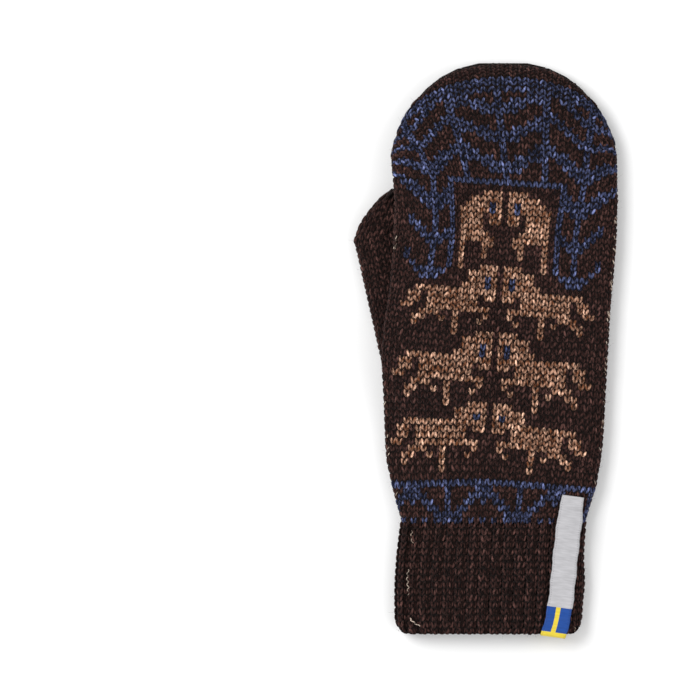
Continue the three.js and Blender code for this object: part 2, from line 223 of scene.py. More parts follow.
# Half a pair of horses, read from its outer edge to the middle of the mitten: X is tan, o the blue
# eye. The other horse is its mirror image. The lowest pair has a shorter neck, and the upper one
# stands on its hind legs.
HORSE = [
    "............XXX",
    "..........XXXXX",
    "..........XXXoX",
    ".........XXXXoX",
    "..XXXXXXXXXXXXX",
    ".XX.XXXXXXXX.XX",
    ".XX.XXXXXXXX...",
    "XX..XXXXXXXXXX.",
    "...XXX..X....X.",
    "..XX..X.X...X..",
    "..X.....X......",
    "........X......",
]
LOWER_HORSE = HORSE[:3] + HORSE[4:]
UPPER_HORSE = [
    "............XXX",
    "..........XXXXX",
    ".........XXXXoX",
    "........XXXXXoX",
    "........XXXX.XX",
    "........XXXX.XX",
    "........XXXX...",
    "........XXXXX..",
    "........XXXXXX.",
    "........X...XX.",
    "........X...X..",
    "........X...X..",
    "........X......",
    "........X......",
]
HORSE_TOPS = [(53, UPPER_HORSE), (40, HORSE), (29, HORSE), (18, LOWER_HORSE)]
BROWN, BLUE, TAN = 0, 1, 2


def horse_yarn(column, row):
    """The yarn of a stitch in the pairs of horses, or None where they leave the ground."""
    for top, chart in HORSE_TOPS:
        line = top - row
        wide = len(chart[0])
        place = wide - abs(column)
        if 0 <= line < len(chart) and 0 <= place < wide and chart[line][place] != ".":
            return TAN if chart[line][place] == "X" else BLUE
    return None


# The zigzag band next to the cuff: its top row, the columns from one valley to the next, the row of a
# peak and how steeply the arms fall from it.
BAND_TOP = 6
BAND_REPEAT = 12
PEAK_ROW = 5.2
ARM_FALL = 0.95


def band_yarn(column, row):
    """The band, dotted along its foot, with a short upright in each peak and a long one in each valley."""
    half = BAND_REPEAT // 2
    from_peak = abs((column + half) % BAND_REPEAT - half)
    arm = abs(row - PEAK_ROW + ARM_FALL * from_peak) < 1
    spine = (from_peak == 0 and row >= 3) or (from_peak == half and row >= 1)
    dotted = row == 0 and column % 2 == 0
    return BLUE if row == BAND_TOP or arm or spine or dotted else BROWN


# The rows where the slanting bars of the herringbone meet at an upright line: the one in the middle
# of the hand, and the ones twelve columns out, whose lowest bar is the round end of a strip.
MIDDLE_MEETS = (56, 61, 66, 71)
SIDE_MEETS = (43, 49.5, 55.5, 61, 66, 71)
MIDDLE_RISE = 0.67
SIDE_RISE = 0.9
BAR = (-0.4, 1.9)
UPRIGHTS = 6


def herringbone_yarn(column, row):
    """Slanting bars about two rows high between upright lines six columns apart."""
    out = abs(column)
    if out <= UPRIGHTS:
        meets, lift = MIDDLE_MEETS, MIDDLE_RISE * out
    else:
        meets, lift = SIDE_MEETS, SIDE_RISE * abs(out - 2 * UPRIGHTS)
    bar = any(BAR[0] <= row - meet - lift < BAR[1] for meet in meets)
    return BLUE if bar or (column % UPRIGHTS == 0 and out <= 2 * UPRIGHTS) else BROWN


# The blue above the horses: a frame over the upper pair, FRAME_OUT columns to each side, herringbone
# from there up and plain rows at its top. Outside the frame it comes down in two strips with round
# ends, which are open to the side only above STRIP_OPEN.
FRAME_ROW = 55
FRAME_OUT = 9
PLAIN_ROWS = (71, 73)
STRIP_END = 37.6
STRIP_ROUND = 0.21
STRIP_LINE = 1.3
STRIP_OUT = 16
STRIP_OPEN = 52


def back_yarn(column, row):
    """The pattern on the back of the hand."""
    out = abs(column)
    if row <= BAND_TOP:
        return band_yarn(column, row)
    horse = horse_yarn(column, row)
    if horse is not None:
        return horse
    if row > PLAIN_ROWS[1]:
        return BROWN
    if row >= PLAIN_ROWS[0]:
        return BLUE
    if row > FRAME_ROW:
        return herringbone_yarn(column, row)
    if row == FRAME_ROW and out <= FRAME_OUT:
        return BLUE
    round_end = STRIP_END + STRIP_ROUND * (out - 2 * UPRIGHTS) ** 2
    if out < FRAME_OUT or row < round_end or (out > STRIP_OUT and row < STRIP_OPEN):
        return BROWN
    if row < round_end + STRIP_LINE or out == FRAME_OUT:
        return BLUE
    return herringbone_yarn(column, row)


def palm_yarn(column, row):
    """The palm is plain above the band."""
    return band_yarn(column, row) if row <= BAND_TOP else BROWN


# Each yarn is two plies of unlike shades, which show as short slanting flecks. The plies turn by
# PLY_TURN from one point of a leg to the next. One leg in ten is lighter still.
DYES = {
    BROWN: (linear("#190a08"), linear("#422b27")),
    BLUE: (linear("#050718"), linear("#50577a")),
    TAN: (linear("#55301b"), linear("#b9917a")),
}
PLY_TURN = 1.5
FLECK_SHARE = 0.10
FLECK_LIGHT = 0.8
DYE_UNEVEN = 0.16
# How unevenly the stitches lie, and how much their widths differ, as shares of one stitch.
LIE_UNEVEN = 0.035
WIDTH_UNEVEN = 0.06
# One leg of a stitch, from its foot to its head: how far across the stitch and up the row, in
# stitches, how far out of the cloth, in leg widths, how thick, and how much light gets down to it,
# which is painted into its colour as shade.
LEG = [
    {"across": 0.07, "up": -0.62, "out": -0.75, "thick": 0.55, "light": 0.35},
    {"across": 0.14, "up": -0.36, "out": 0.0, "thick": 0.95, "light": 0.85},
    {"across": 0.27, "up": -0.04, "out": 0.22, "thick": 1.0, "light": 1.1},
    {"across": 0.37, "up": 0.26, "out": 0.12, "thick": 0.95, "light": 1.0},
    {"across": 0.40, "up": 0.56, "out": -0.7, "thick": 0.6, "light": 0.4},
]


def yarn_mesh(name, lines, outward, sides, wide, flat, thick, colours):
    """Yarn along lines, an array of (line, point, 3), with the outward way and the thickness at each
    point. colours holds one for each of its corners, or one for each line."""
    count, rings = lines.shape[:2]
    along = unit(np.gradient(lines, axis=1))
    side = unit(np.cross(along, outward))
    lift = np.cross(side, along)
    turn = 2 * math.pi * np.arange(sides) / sides
    across = side[:, :, None] * (wide * thick)[None, :, None, None] * np.cos(turn)[:, None]
    over = lift[:, :, None] * (flat * thick)[None, :, None, None] * np.sin(turn)[:, None]
    points = lines[:, :, None] + across + over
    points[..., 2] = np.maximum(points[..., 2], 0)
    colours = np.broadcast_to(colours, points.shape)
    index = np.arange(count * rings * sides).reshape(count, rings, sides)
    after = np.roll(index, -1, axis=2)
    walls = np.stack([index[:, :-1], after[:, :-1], after[:, 1:], index[:, 1:]], axis=-1)
    caps = [index[:, 0, ::-1], index[:, -1]]
    return new_mesh(name, points.reshape(-1, 3), [walls.reshape(-1, 4)] + caps, colours.reshape(-1, 3))


def ply_colours_and_painted_shade(dye, sides):
    """The colours of each leg's corners, with painted shade. The two plies wind round each other, so
    they run up the leg in a slant, and little light reaches its ends and its underside, which are
    painted darker."""
    turn = 2 * math.pi * np.arange(sides) / sides
    start = rng.uniform(0, 2 * math.pi, len(dye))[:, None, None]
    ply = 0.5 + 0.5 * np.cos(start + PLY_TURN * np.arange(len(LEG))[None, :, None] + turn)
    share = ply**1.5 * 0.8 + rng.normal(0.02, DYE_UNEVEN, (len(dye), 1, 1))
    share += FLECK_LIGHT * (rng.random((len(dye), 1, 1)) < FLECK_SHARE)
    # Painted shade: each leg darker at its ends and on its underside.
    light = np.array([p["light"] for p in LEG])[:, None] * (0.6 + 0.4 * np.sin(turn))
    low = np.array([DYES[d][0] for d in dye])[:, None, None]
    high = np.array([DYES[d][1] for d in dye])[:, None, None]
    return blend(low, high, np.clip(share, 0, 1.7)[..., None]) * light[..., None]


def stitch_legs(place, wide_way, up_way):
    """The two legs of each stitch, given its middle and the vectors of one stitch's width and
    one row's height. Returns their lines and outward vectors, the left legs first."""
    outward = unit(np.cross(wide_way, up_way))
    shift = rng.normal(0, LIE_UNEVEN, (2, len(place), 1))
    lines = []
    for hand in (-1, 1):
        stretch = rng.normal(1, WIDTH_UNEVEN, (len(place), 1))
        line = [
            place
            + wide_way * (hand * p["across"] * stretch + shift[0])
            + up_way * (p["up"] + shift[1])
            + outward * (p["out"] * LEG_WIDE - YARN_INSET)
            for p in LEG
        ]
        lines.append(np.stack(line, axis=1))
    return np.concatenate(lines), np.concatenate([outward, outward])[:, None].repeat(len(LEG), axis=1)


def mean_row(rows, row, name):
    """A column of a table of rows at any row."""
    return np.interp(row, [r["row"] for r in rows], [r[name] for r in rows])


hand = Tube("hand_back", "hand_palm")
wrist_y = hand.along[0]
hand_middle = (hand.left + hand.right) / 2
hand_half = (hand.right - hand.left).max() / 2


def hand_row(row):
    """The line of a row of the hand, as y for any x, and the x of its middle column."""
    base = wrist_y + mean_row(HAND_ROWS, row, "along") * MM
    axis = mean_row(HAND_ROWS, row, "axis") * MM
    fall = math.tan(math.radians(mean_row(HAND_ROWS, row, "fall")))
    sag = math.tan(math.radians(mean_row(HAND_ROWS, row, "sag")))
    bow = mean_row(HAND_ROWS, row, "bow") * BOW_DEPTH
    middle = np.interp(base, hand.along, hand_middle)

    def row_y(x):
        share = min(abs(x - middle) / hand_half, BOW_LIMIT)
        away = math.hypot(x - axis, SAG_SOFT) - SAG_SOFT
        return base - fall * (x - axis) - sag * away - bow * (1 - math.sqrt(1 - share * share))

    return row_y, axis


hand_loops = [hand.loop(*hand_row(row)) for row in range(-1, HAND_COUNT + 1)]


# Where rows run together at the tube's edges a stitch is left out, and so is one that would be
# stretched across a gap.
SHORTEST_STITCH = 0.8 * MM
TALLEST_STITCH = 8 * MM


def hand_stitches(first, last, palm):
    """Middle, width and height vectors, column and row of the stitches of some rows."""
    found = []
    for row in range(first, last):
        here, above = hand_loops[row + 1], hand_loops[row + 2]
        pitches = [[mean_row(HAND_ROWS, r, side) * MM for side in ("left", "right")] for r in (row, row + 1)]
        left = int(here[3] / pitches[0][0] + 0.2)
        right = int(here[2] / pitches[0][1] + 0.2)
        if palm:
            ends = [
                ((right + 0.5) * pitch[1], loop[1][-1] - (left + 0.5) * pitch[0])
                for loop, pitch in zip((here, above), pitches)
            ]
            room = ends[0][1] - ends[0][0]
            count = int(round(room / pitches[0][0]))
            if count < 1:
                continue
            share = (np.arange(count) + 0.5) / count
            columns = np.arange(count) - count // 2
            arc, arc_above = [blend(start, end, share) for start, end in ends]
            width = np.full(count, room / count)
        else:
            columns = np.arange(-left, right + 1)
            arc, arc_above = [np.where(columns < 0, p[0], p[1]) * columns for p in pitches]
            width = np.where(columns < 0, *pitches[0])
        place = on_loop(here, arc)
        wide_way = on_loop(here, arc + width / 2) - on_loop(here, arc - width / 2)
        up_way = on_loop(above, arc_above) - place
        tall = np.linalg.norm(up_way, axis=1)
        sound = (tall > SHORTEST_STITCH) & (tall < TALLEST_STITCH)
        parts = (place, wide_way, up_way, columns, np.full(len(columns), row))
        found.append([part[sound] for part in parts])
    return [np.concatenate(part) for part in zip(*found)]


def knit(name, stitches, chart, node, sides, tube=hand, lowest=-2 * MM):
    """One piece of stitches in the yarns of a chart, in the place of its CAD solid. lowest is how far
    up from the tube's lower end its yarn begins."""
    place, wide_way, up_way, columns, rows = stitches
    dye = [chart(int(c), int(r)) for c, r in zip(columns, rows)]
    lines, outward = stitch_legs(place, wide_way, up_way)
    lines[..., 2] = np.maximum(lines[..., 2], LEG_FLAT)
    lines[..., 1] = np.maximum(lines[..., 1], tube.along[0] + lowest)
    lines, outward = tube.to_world(lines), tube.to_world(outward)
    thick = np.array([p["thick"] for p in LEG])
    piece = yarn_mesh(name, lines, outward, sides, LEG_WIDE, LEG_FLAT, thick, ply_colours_and_painted_shade(dye * 2, sides))
    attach(piece, "root")
    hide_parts(node)
    return piece


# Lambswool, woollen spun and lightly milled: matt, with a trace of sheen from the bloom of loose
# fibres. Short streaks of painted highlight and shadow run along the spun fibres, where single
# fibres catch the light. The streaks are about 0.15 mm wide, too fine to show, so they are drawn
# four times as coarse, and about three times as long as wide.
STREAK_WIDE = 0.15 * MM
STREAK_COARSE = 4
STREAK_DRAWN_OUT = 0.3
STREAK_TURN = math.radians(14)


def add_node(tree, kind, inputs=(), **settings):
    """A node with its settings, and each input set to a value or linked to a socket."""
    node = tree.nodes.new(kind)
    for name, value in settings.items():
        setattr(node, name, value)
    for name, value in dict(inputs).items():
        if isinstance(value, bpy.types.NodeSocket):
            tree.links.new(value, node.inputs[name])
        else:
            node.inputs[name].default_value = value
    return node


def ranged(tree, value, start, end, low, high):
    """A value from start to end, carried over to low to high."""
    limits = {"Value": value, "From Min": start, "From Max": end, "To Min": low, "To Max": high}
    return add_node(tree, "ShaderNodeMapRange", limits).outputs["Result"]


def new_material(name):
    """An empty material, with its node tree."""
    material = bpy.data.materials.new(name)
    material.use_nodes = True
    material.node_tree.nodes.clear()
    return material, material.node_tree


def finish_with(tree, shader):
    output = add_node(tree, "ShaderNodeOutputMaterial")
    tree.links.new(shader.outputs["BSDF"], output.inputs["Surface"])


def spun_lambswool():
    material, tree = new_material("spun_lambswool")
    # The dye attribute is each yarn's colour with the legs' painted shade worked in.
    dye = add_node(tree, "ShaderNodeAttribute", attribute_name="dye")
    place = add_node(tree, "ShaderNodeTexCoord")
    drawn = add_node(
        tree,
        "ShaderNodeMapping",
        {
            "Vector": place.outputs["Object"],
            "Rotation": (0, 0, STREAK_TURN),
            "Scale": (1, STREAK_DRAWN_OUT, 1),
        },
    )
    fibre = add_node(
        tree,
        "ShaderNodeTexNoise",
        {"Vector": drawn.outputs["Vector"], "Scale": 1 / (STREAK_WIDE * STREAK_COARSE), "Detail": 2.0},
    )
    # Painted highlight and shadow of single fibres, scaling the yarn's colour up and down.
    painted_fibre_shading = ranged(tree, fibre.outputs["Fac"], 0.38, 0.62, 0.15, 1.85)
    shade = add_node(
        tree,
        "ShaderNodeVectorMath",
        {0: dye.outputs["Color"], "Scale": painted_fibre_shading},
        operation="SCALE",
    )
    bump = add_node(
        tree,
        "ShaderNodeBump",
        {"Height": fibre.outputs["Fac"], "Strength": 0.5, "Distance": STREAK_WIDE * 2},
    )
    shader = add_node(
        tree,
        "ShaderNodeBsdfPrincipled",
        {
            "Base Color": shade.outputs["Vector"],
            "Roughness": 0.92,
            "Specular IOR Level": 0.06,
            "Sheen Weight": 0.04,
            "Sheen Roughness": 0.6,
            "Normal": bump.outputs["Normal"],
        },
    )
    finish_with(tree, shader)
    return material


lambswool = spun_lambswool()
# The back's stitches are two pieces, parted at this row, so that neither holds too many faces.
HALF_BACK = 38
hand_pieces = [
    knit("back_knitting_lower", hand_stitches(0, HALF_BACK, False), back_yarn, "hand_back", 6),
    knit("back_knitting_upper", hand_stitches(HALF_BACK, HAND_COUNT, False), back_yarn, "hand_back", 6),
    knit("palm_knitting", hand_stitches(0, HAND_COUNT, True), palm_yarn, "hand_palm", 4),
]
for piece in hand_pieces:
    piece.data.materials.append(lambswool)

# The backing is the inside of the cloth and what shows between stitches: the CAD wall drawn in from
# both faces, so that the stitches stand on it. It is purl side, close bumps about half a stitch apart.
# Its brown is darker than the yarn's, a painted shade for the gaps between stitches.
BACKING_IN = 0.75 * MM
PURL_APART = 1.6 * MM
PURL_DEEP = 0.8 * MM


def purl_side_wool():
    """Matt brown darkened as painted shade, with close round bumps that carry painted shade toward their
    edges.
    """
    material, tree = new_material("purl_side_wool")
    place = add_node(tree, "ShaderNodeTexCoord")
    bumps = add_node(
        tree,
        "ShaderNodeTexVoronoi",
        {"Vector": place.outputs["Object"], "Scale": 1 / PURL_APART},
    )
    # Painted shade: darker from each bump's middle to its edge, both colours darker than the brown yarn.
    dye = add_node(tree, "ShaderNodeValToRGB", {"Fac": bumps.outputs["Distance"]})
    dye.color_ramp.elements[0].color = linear("#1c100d") + [1]
    dye.color_ramp.elements[1].color = linear("#080403") + [1]
    bump = add_node(
        tree,
        "ShaderNodeBump",
        {"Height": bumps.outputs["Distance"], "Strength": 1.0, "Distance": PURL_DEEP},
        invert=True,
    )
    shader = add_node(
        tree,
        "ShaderNodeBsdfPrincipled",
        {
            "Base Color": dye.outputs["Color"],
            "Roughness": 0.95,
            "Specular IOR Level": 0.15,
            "Normal": bump.outputs["Normal"],
        },
    )
    finish_with(tree, shader)
    return material


def backing(name, node, tube):
    """The wall of a tube drawn in, and kept inside the tube's outline."""
    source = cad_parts[node]
    mesh = source.data
    mesh.calc_loop_triangles()
    turned = source.matrix_world.to_3x3()
    points = np.array(
        [source.matrix_world @ v.co - (turned @ v.normal) * BACKING_IN for v in mesh.vertices]
    )
    own = tube.to_own(points)
    own[:, 1] = np.clip(own[:, 1], tube.along[0] + BACKING_IN / 2, tube.along[-1] - BACKING_IN)
    left, right = [np.interp(own[:, 1], tube.along, edge) for edge in (tube.left, tube.right)]
    own[:, 0] = np.clip(own[:, 0], left + BACKING_IN, right - BACKING_IN)
    points = tube.to_world(own)
    piece = new_mesh(name, points, [np.array([t.vertices for t in mesh.loop_triangles])])
    piece.data.materials.append(purl_side)
    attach(piece, "root")
    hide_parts(node)


purl_side = purl_side_wool()
backing("back_backing", "hand_back", hand)
backing("palm_backing", "hand_palm", hand)

# The thumb is a smaller tube in the brown yarn, knitted out from the hole in the palm and lying
# under the hand, its narrow end turned in.
THUMB_TURN = math.radians(12.7)
THUMB_PITCH = 3.0 * MM
THUMB_ROW = 2.95 * MM
THUMB_SHORTEST = 0.3 * THUMB_ROW
thumb = Tube("thumb", turned=THUMB_TURN)


def thumb_stitches():
    found = []
    base = thumb.along[0] + THUMB_ROW / 2
    count = int((thumb.along[-1] - base) / THUMB_ROW) + 1
    axis = (thumb.left.min() + thumb.right.max()) / 2
    loops = []
    for row in range(count + 1):
        y = min(base + row * THUMB_ROW, thumb.along[-1])
        middle = (np.interp(y, thumb.along, thumb.left) + np.interp(y, thumb.along, thumb.right)) / 2
        loops.append((thumb.loop(lambda x, y=y: y, middle, 16), middle))
    for row in range(count):
        (here, middle), (above, middle_above) = loops[row], loops[row + 1]
        total = here[1][-1]
        number = max(int(round(total / THUMB_PITCH)), 4)
        shift = (axis - middle) % THUMB_PITCH
        arc = np.arange(number) * total / number + shift
        share = above[1][-1] / total
        place = on_loop(here, arc)
        wide_way = on_loop(here, arc + total / number / 2) - on_loop(here, arc - total / number / 2)
        up_way = on_loop(above, arc * share) - place
        short = np.linalg.norm(up_way, axis=1) < THUMB_SHORTEST
        up_way[short] = unit(up_way[short]) * THUMB_SHORTEST
        found.append((place, wide_way, up_way, np.arange(number), np.full(number, row)))
    return [np.concatenate(part) for part in zip(*found)]


thumb_piece = knit("thumb_knitting", thumb_stitches(), lambda c, r: BROWN, "thumb", 5, thumb)
thumb_piece.data.materials.append(lambswool)
backing("thumb_backing", "thumb", thumb)

# The cuff is knitted one plain, one purl, so that every other column stands out as a rib. It is
# dark brown all over. Its top row laps CUFF_LAP over the hand's first one, and its yarn begins
# CUFF_HEM_IN up from the hem.
CUFF_COLUMNS = 68
CUFF_COUNT = 17
RIB_OUT = 0.35 * MM
CUFF_LAP = 1.0 * MM
CUFF_END_IN = 0.2 * MM
CUFF_HEM_IN = 0.3 * MM
cuff = Tube("cuff")


def cuff_stitches():
    found = []
    columns = np.arange(CUFF_COLUMNS)
    top = cuff.along[-1] - CUFF_END_IN
    tall = (top - cuff.along[0]) / CUFF_COUNT
    loops = []
    for row in range(CUFF_COUNT + 2):
        y = max(top - row * tall, cuff.along[0] + CUFF_END_IN)
        middle = (np.interp(y, cuff.along, cuff.left) + np.interp(y, cuff.along, cuff.right)) / 2
        loops.append(cuff.loop(lambda x, y=y: y, middle, 40))
    for row in range(CUFF_COUNT):
        below, here = loops[row + 1], loops[row]
        total, total_here = below[1][-1], here[1][-1]
        arc = (columns + 0.5) * total / CUFF_COLUMNS
        width = total / CUFF_COLUMNS
        low = on_loop(below, arc)
        high = on_loop(here, arc * total_here / total)
        wide_way = on_loop(below, arc + width / 2) - on_loop(below, arc - width / 2)
        up_way = high - low
        place = (low + high) / 2
        place[:, 1] += CUFF_LAP * (1 - row / CUFF_COUNT)
        outward = unit(np.cross(wide_way, up_way))
        rib = np.where(columns % 2 == 0, RIB_OUT, -RIB_OUT)[:, None]
        rows = np.full(CUFF_COLUMNS, row)
        found.append((place + outward * rib, wide_way, up_way, columns, rows))
    return [np.concatenate(part) for part in zip(*found)]


cuff_piece = knit("cuff_knitting", cuff_stitches(), lambda c, r: BROWN, "cuff", 6, cuff, CUFF_HEM_IN)
cuff_piece.data.materials.append(lambswool)
backing("cuff_backing", "cuff", cuff)

# A light greyish tan sewing yarn shows in places at the sides: down both edges of the hand as short
# slanting stitches, and on the cuff as a thin wavy line, whose points are x and y in millimetres.
SEAM_YARN = (linear("#6e5d52"), linear("#a99a8c"))
SEAM_THIN = 0.26 * MM
SPECK_LONG = 2.0 * MM
SPECKS = [
    {"side": "right", "from_y": -71, "to_y": 64, "count": 30},
    {"side": "left", "from_y": 38, "to_y": 54, "count": 5},
    {"side": "left", "from_y": -70, "to_y": -20, "count": 5},
]
WAVE_HIGH = 0.45 * MM
WAVE_TURN = 2.4
CUFF_SEAM = [
    [(-35.4, -85.8), (-35.2, -88.5), (-35.0, -91.8)],
    [(-36.9, -104.2), (-37.4, -108.5), (-37.0, -113.0), (-36.7, -116.8)],
    [(-36.6, -127.0), (-33.8, -129.8), (-30.9, -131.2)],
    [(41.6, -131.4), (42.6, -133.6)],
]


def seam_mesh(name, lines, node):
    """Sewing yarn along lines that lie on a tube, in the place of that tube's solid."""
    rings = lines.shape[1]
    outward = np.broadcast_to([0.0, 0.0, 1.0], lines.shape)
    thick = np.sin(np.linspace(0.25, math.pi - 0.25, rings)) ** 0.4
    shade = rng.uniform(0, 1, (len(lines), 1, 1, 1))
    colours = blend(*map(np.array, SEAM_YARN), shade)
    piece = yarn_mesh(name, lines, outward, 5, SEAM_THIN, SEAM_THIN, thick, colours)
    piece.data.materials.append(lambswool)
    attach(piece, "root")
    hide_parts(node)


def hand_specks():
    lines = []
    for run in SPECKS:
        inward, edges = (-1, hand.right) if run["side"] == "right" else (1, hand.left)
        for y in rng.uniform(run["from_y"], run["to_y"], run["count"]) * MM:
            x = np.interp(y, hand.along, edges) + inward * rng.uniform(0.5, 1.5) * MM
            share = np.linspace(-0.5, 0.5, 5)
            xs = x + inward * share * SPECK_LONG * rng.uniform(0.2, 0.5)
            ys = y + share * SPECK_LONG * rng.uniform(0.6, 1.1)
            zs = [hand.height(a, b, True) + 0.1 * MM for a, b in zip(xs, ys)]
            lines.append(np.column_stack([xs, ys, zs]))
    lines = np.array(lines)
    return lines[~np.isnan(lines).any(axis=(1, 2))]


def cuff_seam_lines():
    lines = []
    for run in CUFF_SEAM:
        run = np.array(run) * MM
        marks = np.linspace(0, len(run) - 1, 26)
        xs, ys = [np.interp(marks, np.arange(len(run)), run[:, k]) for k in (0, 1)]
        length = np.concatenate([[0], np.cumsum(np.hypot(np.diff(xs), np.diff(ys)))])
        xs = xs + WAVE_HIGH * np.sin(length / MM * WAVE_TURN)
        zs = [cuff.height(a, b, True) + 0.15 * MM for a, b in zip(xs, ys)]
        lines.append(np.column_stack([xs, ys, zs]))
    return np.array(lines)


seam_mesh("hand_seam_yarn", hand_specks(), "hand_back")
seam_mesh("cuff_seam_yarn", cuff_seam_lines(), "cuff")

# Loose fibres stand out of the lambswool all over. They are finer than the eye picks out one by one,
# and soften the outline.
FIBRE_THIN = 0.03 * MM
FIBRE_LONG_MM = (1.5, 4.0)
FIBRE_LIGHT = 1.3
# A fibre from its root to its tip: how far along it, and how thick.
FIBRE_LINE = [
    {"along": 0, "thick": 1},
    {"along": 0.33, "thick": 0.9},
    {"along": 0.67, "thick": 0.75},
    {"along": 1, "thick": 0.5},
]


def loose_fibres(name, pieces, count, node):
    """Fine curved fibres rooted at random points of the pieces, in the colours read there, painted shade
    included, made lighter by FIBRE_LIGHT.
    """
    roots, ways, dyes = [], [], []
    for piece in pieces:
        mesh = piece.data
        size = len(mesh.vertices)
        place, way = np.empty(size * 3, dtype=np.float32), np.empty(size * 3, dtype=np.float32)
        dye = np.empty(size * 4, dtype=np.float32)
        mesh.vertices.foreach_get("co", place)
        mesh.vertices.foreach_get("normal", way)
        mesh.color_attributes["dye"].data.foreach_get("color", dye)
        chosen = rng.choice(size, count // len(pieces), replace=False)
        roots.append(place.reshape(-1, 3)[chosen])
        ways.append(way.reshape(-1, 3)[chosen])
        dyes.append(dye.reshape(-1, 4)[chosen, :3])
    roots, ways, dyes = [np.concatenate(part).astype(float) for part in (roots, ways, dyes)]
    lean = unit(np.cross(ways, rng.normal(size=ways.shape)))
    bend = np.cross(lean, ways)
    length = rng.uniform(*FIBRE_LONG_MM, (len(roots), 1)) * MM
    lift = rng.uniform(0.1, 0.6, (len(roots), 1))
    curl = rng.uniform(-0.5, 0.5, (len(roots), 1))
    shares = [p["along"] for p in FIBRE_LINE]
    line = [roots + length * (t * lean + lift * t * ways + curl * t * t * bend) for t in shares]
    lines = np.stack(line, axis=1)
    lines[..., 2] = np.maximum(lines[..., 2], FIBRE_THIN)
    outward = ways[:, None].repeat(len(FIBRE_LINE), axis=1)
    thick = np.array([p["thick"] for p in FIBRE_LINE])
    # The colours read at the roots carry the legs' painted shade.
    colours = FIBRE_LIGHT * dyes[:, None, None]
    fuzz = yarn_mesh(name, lines, outward, 3, FIBRE_THIN, FIBRE_THIN, thick, colours)
    fuzz.data.materials.append(lambswool)
    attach(fuzz, "root")
    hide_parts(node)


loose_fibres("back_fibres", hand_pieces[:2], 3000, "hand_back")
loose_fibres("palm_fibres", hand_pieces[2:], 1200, "hand_palm")
loose_fibres("thumb_fibres", [thumb_piece], 500, "thumb")
loose_fibres("cuff_fibres", [cuff_piece], 1200, "cuff")

# The label is a woven satin ribbon, silver grey, with a blue and yellow end that is folded round the
# hem, and a short tail inside it. It is a little narrower at its upper end, bows gently to the side
# and ripples where it lies loose on the cuff.
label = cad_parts["label"]
RIBBON_WIDE = (10.2 * MM, 12.0 * MM)
RIBBON_NARROW = 0.15
RIBBON_THICK = 0.35 * MM
RIBBON_LONG = 66.4 * MM
RIBBON_TOP = (41.2 * MM, -69.3 * MM)
RIBBON_TURN = math.radians(8.05)
RIBBON_FOLD = 1.1 * MM
RIBBON_DROP = 2.9 * MM
RIBBON_TAIL = 9.0 * MM
RIBBON_BOW = 1.2 * MM
RIBBON_SINK = 0.35 * MM
RIBBON_ROUND = 6 * MM
TAIL_NARROW = 0.93
FOLD_STEPS = 11
LABEL_ENDS = (-133 * MM, -73 * MM)
SLOPE_WIDE = 2.5 * MM
RIPPLES = [
    {"high": 0.22 * MM, "turn": 0.55, "start": 0},
    {"high": 0.16 * MM, "turn": 1.33, "start": 1},
]
BLUE_FROM_MM = 53.2
CROSS_FROM_MM = 65.2
STRIPE_AT = 0.45
STRIPE_WIDE = 0.18

label_tree = BVHTree.FromPolygons(
    [label.matrix_world @ v.co for v in label.data.vertices],
    [tuple(p.vertices) for p in label.data.polygons],
)
ribbon_down = Vector((-math.sin(RIBBON_TURN), -math.cos(RIBBON_TURN), 0))
ribbon_side = Vector((math.cos(RIBBON_TURN), -math.sin(RIBBON_TURN), 0))


def ribbon_middle(distance):
    """The middle of the ribbon at a distance from its upper end, and how far its side slopes."""
    share = min(distance / RIBBON_LONG, 1)
    at = Vector((*RIBBON_TOP, 0)) + ribbon_down * RIBBON_LONG * share
    at += ribbon_side * RIBBON_BOW * math.sin(math.pi * share**2.6)
    heights = []
    for shift in (-SLOPE_WIDE, 0, SLOPE_WIDE):
        over = at + ribbon_side * shift
        over.y = min(max(over.y, LABEL_ENDS[0]), LABEL_ENDS[1])
        heights.append(label_tree.ray_cast(Vector((over.x, over.y, 1)), Vector((0, 0, -1)))[0].z)
    at.z = heights[1] + RIBBON_THICK / 2 - RIBBON_SINK
    return at, (heights[2] - heights[0]) / (2 * SLOPE_WIDE)


def ribbon_rows():
    """The ribbon's centreline, as place, side way and outward way, with the distance along it."""
    rows = []
    for distance in np.linspace(0, RIBBON_LONG, 110):
        at, slope = ribbon_middle(distance)
        ripple = sum(r["high"] * math.sin(distance / MM * r["turn"] + r["start"]) for r in RIPPLES)
        rows.append((at + Vector((0, 0, ripple)), slope, 0.0, distance))
    hem, slope = ribbon_middle(RIBBON_LONG)
    for step in range(1, FOLD_STEPS):
        lean = math.pi * step / FOLD_STEPS
        at = hem + ribbon_down * RIBBON_FOLD * math.sin(lean)
        at.z += RIBBON_DROP * (math.cos(lean) - 1)
        rows.append((at, slope, lean, RIBBON_LONG + step / FOLD_STEPS * RIBBON_ROUND))
    for back in np.linspace(0, RIBBON_TAIL, 8):
        at, slope = ribbon_middle(RIBBON_LONG - back)
        at.z -= 2 * RIBBON_DROP
        rows.append((at, slope, math.pi, RIBBON_LONG + RIBBON_ROUND + back))
    return rows


